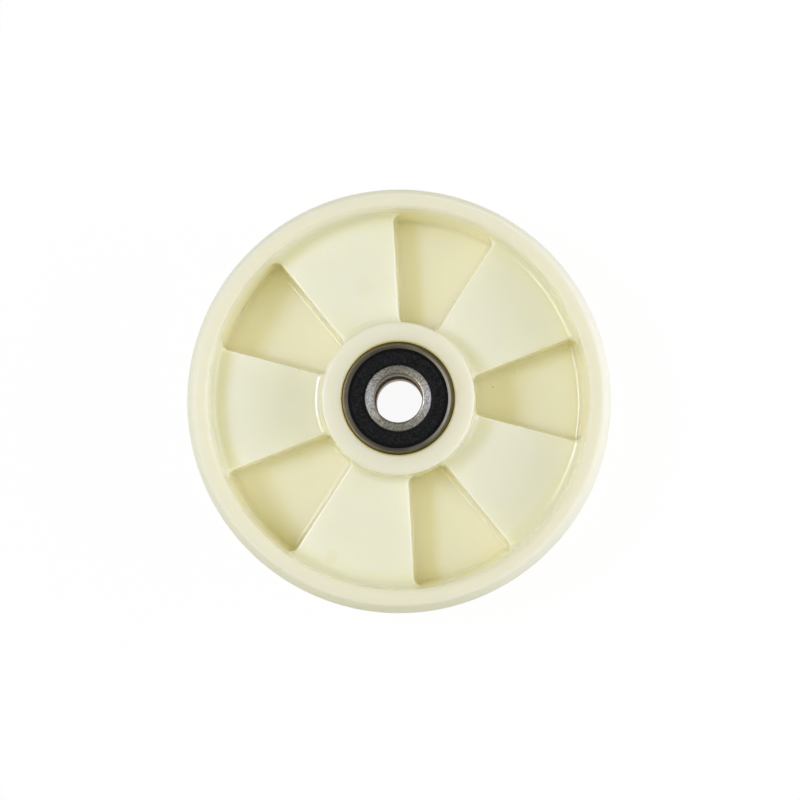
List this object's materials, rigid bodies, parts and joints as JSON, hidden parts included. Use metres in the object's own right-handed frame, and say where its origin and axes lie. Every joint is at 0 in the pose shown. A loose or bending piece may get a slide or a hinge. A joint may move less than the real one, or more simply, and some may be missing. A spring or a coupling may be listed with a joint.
{
  "type": "nylon wheel with ball bearings",
  "caption": "Moulded nylon wheel with a crowned tread, a web of pockets that alternate from side to side, and a sealed ball bearing in each end of its hub.",
  "frame": {"origin": "the middle of the wheel, on its axis, halfway between the side faces", "axes": "+Z is along the axle towards the front side, the one in the picture; +X runs through the middle of a front pocket; the wheel lies on its rear side face"},
  "size_m": [0.18, 0.18, 0.05],
  "materials": {
    "nylon": "satin, natural ivory colour, slightly translucent",
    "ring_steel": "ground",
    "ball_steel": "polished",
    "cage_steel": "pressed sheet",
    "seal_rubber": "matt black"
  },
  "bodies": {
    "wheel": {"wheel_body": "nylon", "front_outer_ring": "ring_steel", "front_outside_seal": "seal_rubber", "front_inside_seal": "seal_rubber", "rear_outer_ring": "ring_steel", "rear_outside_seal": "seal_rubber", "rear_inside_seal": "seal_rubber"},
    "front_inner_ring": {"front_inner_ring": "ring_steel"},
    "front_cage": {"front_outside_cage_half": "cage_steel", "front_inside_cage_half": "cage_steel", "front_cage_rivets": "cage_steel", "front_ball_1": "ball_steel", "front_ball_2": "ball_steel", "front_ball_3": "ball_steel", "front_ball_4": "ball_steel", "front_ball_5": "ball_steel", "front_ball_6": "ball_steel", "front_ball_7": "ball_steel", "front_ball_8": "ball_steel"},
    "rear_inner_ring": {"rear_inner_ring": "ring_steel"},
    "rear_cage": {"rear_outside_cage_half": "cage_steel", "rear_inside_cage_half": "cage_steel", "rear_cage_rivets": "cage_steel", "rear_ball_1": "ball_steel", "rear_ball_2": "ball_steel", "rear_ball_3": "ball_steel", "rear_ball_4": "ball_steel", "rear_ball_5": "ball_steel", "rear_ball_6": "ball_steel", "rear_ball_7": "ball_steel", "rear_ball_8": "ball_steel"}
  },
  "joints": [
    {"name": "front_inner_ring_spin", "type": "hinge", "parent": "wheel", "child": "front_inner_ring", "pos_m": [0, 0, 0.0176], "axis": [0, 0, 1], "continuous": true},
    {"name": "front_cage_spin", "type": "hinge", "parent": "wheel", "child": "front_cage", "pos_m": [0, 0, 0.0176], "axis": [0, 0, 1], "continuous": true},
    {"name": "rear_inner_ring_spin", "type": "hinge", "parent": "wheel", "child": "rear_inner_ring", "pos_m": [0, 0, -0.0176], "axis": [0, 0, 1], "continuous": true},
    {"name": "rear_cage_spin", "type": "hinge", "parent": "wheel", "child": "rear_cage", "pos_m": [0, 0, -0.0176], "axis": [0, 0, 1], "continuous": true}
  ],
  "couplings": [
    {"joint": "front_cage_spin", "follows": "front_inner_ring_spin", "ratio": 0.38152},
    {"joint": "rear_cage_spin", "follows": "rear_inner_ring_spin", "ratio": 0.38152}
  ]
}
